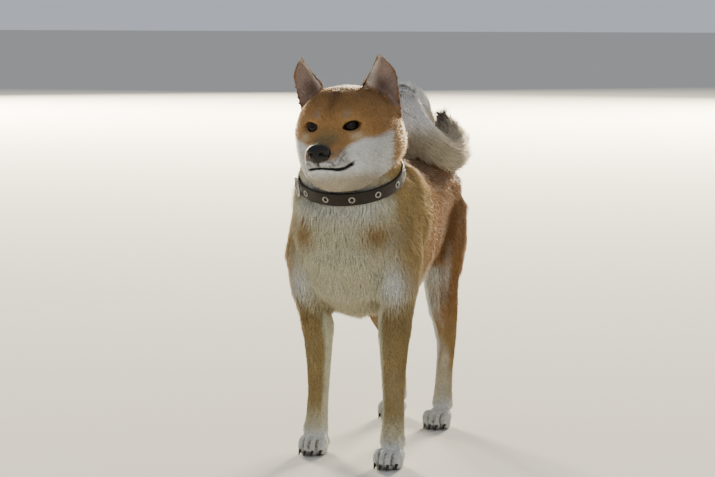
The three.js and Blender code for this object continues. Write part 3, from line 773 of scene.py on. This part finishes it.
def tuft_arrays(root, out, way, long, wide, lift, dice):
    """Three cross sections of a lock: three points at the root, three half way and one at the tip. The
    lock leaves the hide at its lift angle and bends down to lie along it, and leans a little to one side
    at random."""
    number = len(root)
    side = unit(np.cross(out, way))
    sway = dice.normal(0, 0.16, number)[:, None]
    way = unit(way + side * sway)
    side = unit(np.cross(out, way))
    first, last = lift * 1.25, lift * 0.35
    half = 0.5 * long[:, None]
    middle = root + half * (way * np.cos(first)[:, None] + out * np.sin(first)[:, None])
    tip = middle + half * (way * np.cos(last)[:, None] + out * np.sin(last)[:, None])
    tip = tip + side * (dice.normal(0, 0.05, number) * long)[:, None]
    root = root - out * 0.6
    corner = np.radians((90, 210, 330))
    ring = side[:, None] * np.cos(corner)[None, :, None] + 0.45 * out[:, None] * np.sin(corner)[None, :, None]
    base = root[:, None] + ring * (wide * 0.45)[:, None, None]
    belly = middle[:, None] + ring * (wide * 0.5)[:, None, None]
    return np.concatenate((base, belly, tip[:, None]), axis=1)


LOCK_FACES = np.array([(0, 2, 1)] + [face for k in range(3) for face in (
    (k, (k + 1) % 3, 3 + (k + 1) % 3), (k, 3 + (k + 1) % 3, 3 + k), (3 + k, 3 + (k + 1) % 3, 6))])
LOCK_UV = np.array(((0, 0), (0.5, 0), (1, 0), (0, 0.5), (0.5, 0.5), (1, 0.5), (0.5, 1))) * 0.003
# Each lock is painted darker at its root, as shade deep in the coat, and lighter at its tip.
LOCK_TONE = (0.86, 0.86, 0.86, 1.0, 1.0, 1.0, 1.12)  # darker at the root and lighter at the tip
SPREAD = 1.06  # times each place's spacing of tufts
MOST_TUFTS, QUICK_PART = 19500, 3
FLOOR_CLEAR = 0.25  # mm that every hair keeps from the floor
COLLAR_AT, COLLAR_TILT = np.array((3.0, -143.0, 366.0)), np.radians(23)
STRAP_WIDE, STRAP_FRONT, STRAP_BACK, STRAP_HALF = 66.0, 63.0, 66.0, 8.5  # mm, half its oval and height
collar_tilted = np.array(((1, 0, 0), (0, np.cos(COLLAR_TILT), -np.sin(COLLAR_TILT)),
                          (0, np.sin(COLLAR_TILT), np.cos(COLLAR_TILT))))


def unwrap(places, group):
    """A place on the hide's own unwrap, in units of the map: the angle round the region's axis over a
    turn, and the distance along it over its length. The legs' pairs share a map, each leg on its own
    half."""
    x, y, z = places.T
    if group == "head":
        round_axis, along = np.arctan2(x - 8, z - 415), (y + 310) / 230
    elif group in ("forelegs", "hindlegs"):
        leg_y = -110 if group == "forelegs" else 160
        own_half = np.where(x > 0, np.pi / 2, -np.pi / 2)
        round_axis, along = np.arctan2(y - leg_y, np.abs(x) - 55) * 0.48 + own_half, z / 360
    elif group == "tail":
        round_axis, along = np.arctan2(z - 400, y - 160), (x + 60) / 170
    else:
        round_axis, along = np.arctan2(x, z - 310), (y + 230) / 480
    return np.stack((round_axis / (2 * np.pi) + 0.5, np.clip(along, 0, 1)), axis=1) * 0.99


def sow(faces, dice):
    """Picks hide triangles evenly by area over the spacing squared, at even steps of that running sum
    with a random start in each, and a random place inside each triangle. Gives their corners and the
    corners' shares."""
    a, b, c = (points[triangles[faces, k]] * 1000.0 for k in range(3))
    area = np.linalg.norm(np.cross(b - a, c - a), axis=1) / 2
    spacing = coat[triangles[faces], 2].mean(axis=1) * SPREAD
    weight = area / spacing ** 2
    number = min(int(weight.sum()), MOST_TUFTS)
    running = np.cumsum(weight) / weight.sum()
    pick = np.searchsorted(running, (np.arange(number) + dice.uniform(0, 1, number)) / number)
    pick = np.minimum(pick, len(faces) - 1)
    u, v = dice.uniform(0, 1, (2, number))
    u, v = np.where(u + v > 1, (1 - u, 1 - v), (u, v))
    return triangles[faces[pick]], np.stack((1 - u - v, u, v), axis=1)


def lock_mesh(piece, locks, colours, patches):
    """A mesh of all the locks: seven points, ten triangles and one colour each, and its patch in the
    OFBake map."""
    number = len(locks) // 7
    corners = (LOCK_FACES[None] + 7 * np.arange(number)[:, None, None]).reshape(-1, 3)
    mesh = bpy.data.meshes.new(piece)
    mesh.vertices.add(len(locks))
    mesh.vertices.foreach_set("co", from_dog(locks).ravel())
    mesh.loops.add(corners.size)
    mesh.loops.foreach_set("vertex_index", corners.ravel())
    mesh.polygons.add(len(corners))
    mesh.polygons.foreach_set("loop_start", np.arange(0, corners.size, 3))
    mesh.update(calc_edges=True)
    tone = np.repeat(np.clip(colours, 0.002, 0.98), 7, axis=0) * np.tile(LOCK_TONE, number)[:, None]
    paint(mesh, np.clip(tone, 0, 0.97))
    uv = mesh.uv_layers.new(name="OFBake")
    uv.data.foreach_set("uv", (patches[:, None] + LOCK_UV[None]).reshape(-1, 2)[corners.ravel()].ravel())
    mesh.shade_smooth()
    mesh.materials.append(coat_material)
    return mesh


def clear_of_collar(places):
    """Hair that would come through the strap is pressed to just inside it: in the collar's own frame, the
    distance from its axis over the strap's oval there is held under one, near the strap's height."""
    local = (places - COLLAR_AT) @ collar_tilted
    deep = np.where(local[:, 1] < 0, STRAP_FRONT, STRAP_BACK)
    share = np.hypot(local[:, 0] / STRAP_WIDE, local[:, 1] / deep)
    allowed = 0.975 + 0.35 * rise(np.abs(local[:, 2]), 8.0, 20.0)
    near = (np.abs(local[:, 2]) < 20) & (share > allowed) & (share < 1.5)
    local[:, :2] *= np.where(near, allowed / np.maximum(share, 1e-6), 1.0)[:, None]
    return local @ collar_tilted.T + COLLAR_AT


def make_coat(piece, group, faces, seed):
    """The tufts of one region: sown over its hide triangles, each with its root's depth, length and
    colour, leant with its neighbours by a soft pattern, and lifted by the angle whose sine is the depth
    over the length."""
    dice = np.random.default_rng(seed)
    chosen, shares = sow(faces, dice)
    number = len(chosen)

    def at_root(values):
        """The hide's values at the roots: its corners' own, weighted by their shares."""
        return (values[chosen] * shares[:, :, None]).sum(axis=1)

    root, out = to_dog(at_root(points)), unit(at_root(hide_normals))
    own_names = names[chosen[np.arange(number), shares.argmax(axis=1)]]
    depth, long = at_root(coat)[:, :2].T
    colour = at_root(hide_colour) * dice.normal(1.0, 0.09, number)[:, None]
    way = lie_of_hair(root, out, own_names)
    clump = unit(np.stack([ripple(root, 7.0, seed + k) for k in (1, 2, 3)], axis=1))
    way = unit(way + 0.13 * (clump - out * (clump * out).sum(1, keepdims=True)))
    long = long * dice.uniform(0.78, 1.15, number)
    lift = np.arcsin(np.clip(depth * 1.05 / long, 0.1, 0.9)) * dice.normal(1.0, 0.14, number)
    wide = np.clip(0.32 + 0.036 * long, 0.42, 1.5) * dice.uniform(0.8, 1.2, number)
    locks = clear_of_collar(tuft_arrays(root, out, way, long, wide, lift, dice).reshape(-1, 3))
    locks[:, 2] = np.maximum(locks[:, 2], FLOOR_CLEAR)
    piece_object = add_object(piece, lock_mesh(piece, locks, colour, unwrap(root, group)))
    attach(piece_object, "root")


# The coat is laid in eleven pieces, each over its own part of the hide, and leaves the eyes, lips and
# nose bare.
face_names = names[triangles[:, 0]]
centre = to_dog(points[triangles].mean(axis=1))
level_centre = to_level(centre)
in_slit = np.zeros(len(triangles), dtype=bool)
for side in (1, -1):
    across, up, out, _ = eye_plane(level_centre, side)
    in_slit |= (np.hypot(across, up) < 15) & (out > -2) & (slit_share(across, up) < 1.4)
lip_centre = level_centre[:, 2] - mouth_height(level_centre[:, 1])
on_mouth = (level_centre[:, 1] < -249) & (np.abs(lip_centre) < 1.5)
on_leather = np.linalg.norm((level_centre - NOSE_CENTRE) / NOSE_HALF, axis=1) < 1.06
bare = in_slit | (face_names == "nose") | on_mouth | on_leather
face_part = np.isin(face_names, ["muzzle", "lower_jaw", "eye_left", "eye_right"]) | (
    (face_names == "head") & (level_centre[:, 1] < -214))
crown_part = (face_names == "head") & ~face_part
ear_part = begins(face_names, "ear")
thigh_part = np.char.endswith(face_names, "thigh")
groups = [("coat_face", "head", face_part), ("coat_crown", "head", crown_part),
          ("coat_ears", "head", ear_part)]
groups += [("coat_" + part, "trunk", face_names == part) for part in ("neck", "chest", "belly", "rump")]
groups += [("coat_forelegs", "forelegs", begins(face_names, "foreleg")),
           ("coat_thighs", "hindlegs", thigh_part),
           ("coat_hindlegs", "hindlegs", begins(face_names, "hindleg") & ~thigh_part),
           ("coat_tail", "tail", begins(face_names, "tail"))]
for number, (piece, group, chosen) in enumerate(groups):
    make_coat(piece, group, np.flatnonzero(chosen & ~bare), 100 + 10 * number)


def mottled_material(name, dark, light, scale, rough, cell_scale=0, deep=0, metal=0.0, painted=False):
    """Noise on Object coordinates mixes two colours, times the painted one where there is one, and
    spreads the roughness from 0.8 to 1.3 of its value. The distances in a cell pattern are the relief."""
    material = new_material(name, Metallic=metal, Specular_IOR_Level=0.5 if metal else 0.25)
    nodes, link = material.node_tree.nodes, material.node_tree.links.new
    shader = nodes["Principled BSDF"]
    place = add_node(nodes, "TexCoord")
    noise = add_node(nodes, "TexNoise", Scale=scale, Detail=4.0)
    gloss = add_node(nodes, "MapRange", To_Min=rough * 0.8, To_Max=rough * 1.3)
    ramp = add_node(nodes, "Mix")
    ramp.data_type = "RGBA"
    set_inputs(ramp, A=(*dark, 1), B=(*light, 1))
    link(place.outputs["Object"], noise.inputs["Vector"])
    link(noise.outputs["Fac"], gloss.inputs["Value"])
    link(gloss.outputs["Result"], shader.inputs["Roughness"])
    link(noise.outputs["Fac"], ramp.inputs["Factor"])
    colour = ramp.outputs["Result"]
    if painted:
        product = add_node(nodes, "Mix")
        product.data_type = "RGBA"
        product.blend_type = "MULTIPLY"
        set_inputs(product, Factor=1.0)
        link(painted_colour(nodes), product.inputs["A"])
        link(colour, product.inputs["B"])
        colour = product.outputs["Result"]
    link(colour, shader.inputs["Base Color"])
    if deep:
        cells = add_node(nodes, "TexVoronoi", Scale=cell_scale)
        relief = add_node(nodes, "Bump", Strength=0.6, Distance=deep)
        link(place.outputs["Object"], cells.inputs["Vector"])
        link(cells.outputs["Distance"], relief.inputs["Height"])
        link(relief.outputs["Normal"], shader.inputs["Normal"])
    return material


def add_piece(name, rings, material, loop=False, stands_for=()):
    """A closed surface from rings of points, (rings, around, 3) in dog mm: quads between neighbouring
    rings, and either the last ring joins the first or a point closes each end. The sign of the sum of the
    triangles' triple products, six times the volume, tells which way it faces, and it is turned
    outwards."""
    count, around = rings.shape[:2]
    i, j = np.meshgrid(np.arange(count if loop else count - 1), np.arange(around), indexing="ij")
    this_ring, next_ring, beside = i * around, (i + 1) % count * around, (j + 1) % around
    quads = np.stack((this_ring + j, this_ring + beside, next_ring + beside, next_ring + j), axis=-1)
    quads = quads.reshape(-1, 4)
    faces = np.concatenate((quads[:, (0, 1, 2)], quads[:, (0, 2, 3)]))
    spots = rings.reshape(-1, 3)
    if not loop:
        spots = np.concatenate((spots, rings[0].mean(0)[None], rings[-1].mean(0)[None]))
        here = np.arange(around)
        beside = (here + 1) % around
        last = (count - 1) * around
        near_end = np.stack((np.full(around, len(spots) - 2), beside, here), axis=1)
        far_end = np.stack((np.full(around, len(spots) - 1), last + here, last + beside), axis=1)
        faces = np.concatenate((faces, near_end, far_end))
    a, b, c = (spots[faces[:, k]] - spots.mean(0) for k in range(3))
    if (np.cross(a, b) * c).sum() < 0:
        faces = faces[:, ::-1]
    mesh = bpy.data.meshes.new(name)
    mesh.from_pydata(from_dog(spots).tolist(), [], faces.tolist())
    mesh.shade_smooth()
    mesh.materials.append(material)
    piece = add_object(name, mesh)
    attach(piece, "root")
    if stands_for:
        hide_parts(*stands_for)
    return piece, spots


def turns(count):
    """Even steps round a full turn, in radians."""
    return np.linspace(0, 2 * np.pi, count, endpoint=False)


# The eyes are wet dark brown balls, each with a black pupil and a clear bulge over its iris. Each is a
# ball on a grid of angles about its facing, swollen at the pole, and its colours are rings by the angle
# from the facing.
eye_material = mottled_material("wet_eye", (0.75, 0.75, 0.75), (1, 1, 1), 900.0, 0.05, painted=True)
for side, name in ((1, "left"), (-1, "right")):
    facing = EYE_FACING * (side, 1, 1)
    first = unit(np.cross(facing, (0, 0, 1.0)))
    second = np.cross(first, facing)
    tilt = np.linspace(0.04, np.pi - 0.04, 36)[:, None]
    around = turns(48)[None]
    swell = EYE_RADIUS + 0.7 * bell(tilt ** 2, 0, 0.55 ** 2)
    ball = ((np.cos(tilt) * swell + 0 * around)[..., None] * facing
            + (np.sin(tilt) * swell * np.cos(around))[..., None] * first
            + (np.sin(tilt) * swell * np.sin(around))[..., None] * second)
    ball = from_level(EYE_CENTRE * (side, 1, 1) + ball)
    piece, spots = add_piece("eye_ball_" + name, ball, eye_material, stands_for=["eye_" + name])
    ahead = unit(to_level(spots) - EYE_CENTRE * (side, 1, 1)) @ facing
    apart = np.degrees(np.arccos(np.clip(ahead, -1, 1)))
    paint(piece.data, layered(
        evenly(srgb(10, 8, 7), spots),
        (srgb(44, 25, 15), rise(apart, 19, 24)),
        (srgb(20, 14, 12), rise(apart, 36, 41)),
        (srgb(58, 44, 38), rise(apart, 46, 60))))

# The nose is bare black leather: a squared ball with two nostrils that run out to slits at the sides, a
# brow over each and a cleft below. The hollows are bells of depth on a grid of angles about the axis from
# front to back.
around = turns(88)[None]
tilt = np.linspace(0.03, np.pi - 0.03, 60)[:, None]
ball = np.stack((np.sin(tilt) * np.cos(around), -np.cos(tilt) + 0 * around, np.sin(tilt) * np.sin(around)),
                axis=-1)
squarish = ball * (1 + 0.10 * (np.abs(ball[..., :1]) * np.abs(ball[..., 2:])) ** 0.8)
squarish[..., 0] *= 1 + 0.10 * ball[..., 2]
leather = NOSE_CENTRE + squarish * NOSE_HALF
wide, high, ahead = np.abs(leather[..., 0]), leather[..., 2], ball[..., 1] < 0.2
nostril = np.exp(-(((wide - 6.6) / 2.5) ** 2 + ((high - 409.2) / 2.3) ** 2) ** 1.4)
slit = bell(wide, 11.4, 3.0) * bell(high + 0.25 * (wide - 11), 406.9, 1.0)
brow = bell(wide, 8.5, 5.0) * bell(high, 413.6, 1.8)
cleft = bell(wide, 0, 0.8) * fall(high, 405, 410)
form = -4.2 * nostril - 2.4 * slit + 0.7 * brow - 1.0 * cleft
leather = leather + ball * (form * ahead)[..., None]
nose_material = mottled_material("nose_leather", (0.006, 0.006, 0.006), (0.020, 0.018, 0.018), 260.0, 0.50,
                                 950.0, 0.0004)
add_piece("nose_leather", from_level(leather), nose_material, stands_for=["nose"])

# Four dark claws stand out of each foot, each a horn cone that bends down to its blunt tip. Its sections
# are ovals that shrink with the square of the way along it.
claw_material = mottled_material("claw_horn", (0.010, 0.008, 0.007), (0.045, 0.034, 0.028), 420.0, 0.42,
                                 600.0, 0.0002)
CLAW_LONG, CLAW_THICK, CLAW_HEIGHT, CLAW_SET_IN = 9.5, 3.0, 8.6, 4.5
along = np.linspace(0, 1, 12)[:, None]
around = turns(14)[None]
for leg, (across, front) in PAWS.items():
    for toe in range(4):
        place = toe - 1.5
        set_back = OUTER_TOE_BACK if abs(place) > 1 else 0.0
        start = np.array((across + place * TOE_PITCH, front + set_back + CLAW_SET_IN, CLAW_HEIGHT))
        girth = CLAW_THICK * (1 - 0.78 * along ** 2)
        horn = start + np.stack((0.8 * girth * np.cos(around), -CLAW_LONG * along + 0 * around,
                                 girth * np.sin(around) - 1.4 * along - 5.0 * along ** 2), axis=-1)
        horn[..., 2] = np.maximum(horn[..., 2], 0.3)
        add_piece(f"claw_{leg}_{toe + 1}", horn, claw_material)

# The collar is a strap of dark oiled leather with rounded edges, cut from one hide and bent to the neck's
# oval. Its section, a squared oval, runs round that oval.
strap_material = mottled_material("oiled_leather", (0.006, 0.005, 0.004), (0.026, 0.018, 0.013), 130.0, 0.42,
                                  700.0, 0.0004)
metal_material = mottled_material("worn_steel", (0.30, 0.28, 0.25), (0.46, 0.44, 0.40), 500.0, 0.28,
                                  260.0, 0.00005, metal=1.0)
STRAP_IN, STRAP_OUT = -1.2, 2.0


def on_collar(local):
    """Collar mm, with z along the neck and -y at the throat, to dog mm: tilted about X, then moved."""
    return local @ collar_tilted.T + COLLAR_AT


def collar_oval(angle, out):
    """The strap's oval at an angle round the neck, grown outwards by out."""
    reach = np.where(np.sin(angle) < 0, STRAP_FRONT, STRAP_BACK)
    return np.stack(((STRAP_WIDE + out) * np.cos(angle), (reach + out) * np.sin(angle)), axis=-1)


def squared(wave, power):
    """A sine or cosine drawn out to its ends: its size to the power, with its own sign."""
    return np.sign(wave) * np.abs(wave) ** power


turn = turns(240)[:, None]
corner = turns(20)[None]
out = (STRAP_IN + STRAP_OUT) / 2 + (STRAP_OUT - STRAP_IN) / 2 * squared(np.cos(corner), 0.5)
up = STRAP_HALF * squared(np.sin(corner), 0.22)
flat = collar_oval(turn + 0 * out, out + 0 * turn)
strap = np.concatenate((flat, (up + 0 * turn)[..., None]), axis=-1)
add_piece("collar_band", on_collar(strap), strap_material, loop=True,
          stands_for=["collar_strap"])


def on_strap(angle, local):
    """A small piece's own mm, x along the strap, y up it and z outwards, set on the strap at an angle."""
    spot = collar_oval(np.array(angle), STRAP_OUT)
    ahead, behind = collar_oval(np.array(angle + 0.01), 0.0), collar_oval(np.array(angle - 0.01), 0.0)
    run = unit(ahead - behind)
    outward = np.array((run[1], -run[0]))
    flat = spot + local[..., :1] * run + local[..., 2:] * outward
    return on_collar(np.concatenate((flat, local[..., 1:2]), axis=-1))


# Nine pressed steel eyelets ring the strap's holes, at even steps round it. Each is a ring of oval section
# that stands on the strap's outer face.
EYELETS = 9
FIRST_EYELET, EYELET_STEP = -133, 29  # degrees round the neck
around = turns(36)[:, None]
section = turns(12)[None]
width = 3.4 + 0.85 * np.cos(section)
ring = np.stack((width * np.cos(around), width * np.sin(around), 0.35 + 0.75 * np.sin(section) + 0 * around),
                axis=-1)
for number in range(EYELETS):
    angle = np.radians(FIRST_EYELET + EYELET_STEP * number)
    add_piece(f"eyelet_ring_{number + 1}", on_strap(angle, ring), metal_material,
              loop=True, stands_for=[f"eyelet_{number + 1}"])

# The buckle is a cast steel frame with rounded bars on the dog's right, and its prong lies across it. The
# frame is an oval section along a squared oval, and the prong a tapered rod, arched a little.
BUCKLE_ANGLE = np.radians(207)
path = turns(96)
frame_line = np.stack((9.0 * squared(np.cos(path), 0.45), 10.4 * squared(np.sin(path), 0.45)), axis=-1)
run = unit(np.roll(frame_line, -1, axis=0) - np.roll(frame_line, 1, axis=0))
outward = np.stack((run[:, 1], -run[:, 0]), axis=-1)
section = turns(14)
across = frame_line[:, None] + outward[:, None] * (1.6 * np.cos(section))[None, :, None]
height = np.broadcast_to((2.0 + 1.5 * np.sin(section))[None, :, None], (len(path), len(section), 1))
bars = np.concatenate((across, height), axis=-1)
add_piece("buckle_frame", on_strap(BUCKLE_ANGLE, bars), metal_material, loop=True,
          stands_for=["buckle"])
along = np.linspace(-1, 1, 24)[:, None]
rod = np.stack((9.0 * along + 0 * section[None], 1.3 * np.cos(section)[None] * (1 - 0.25 * along ** 4),
                4.4 + 1.1 * np.sin(section)[None] - 0.6 * along ** 2), axis=-1)
add_piece("prong_rod", on_strap(BUCKLE_ANGLE, rod), metal_material,
          stands_for=["buckle_prong"])
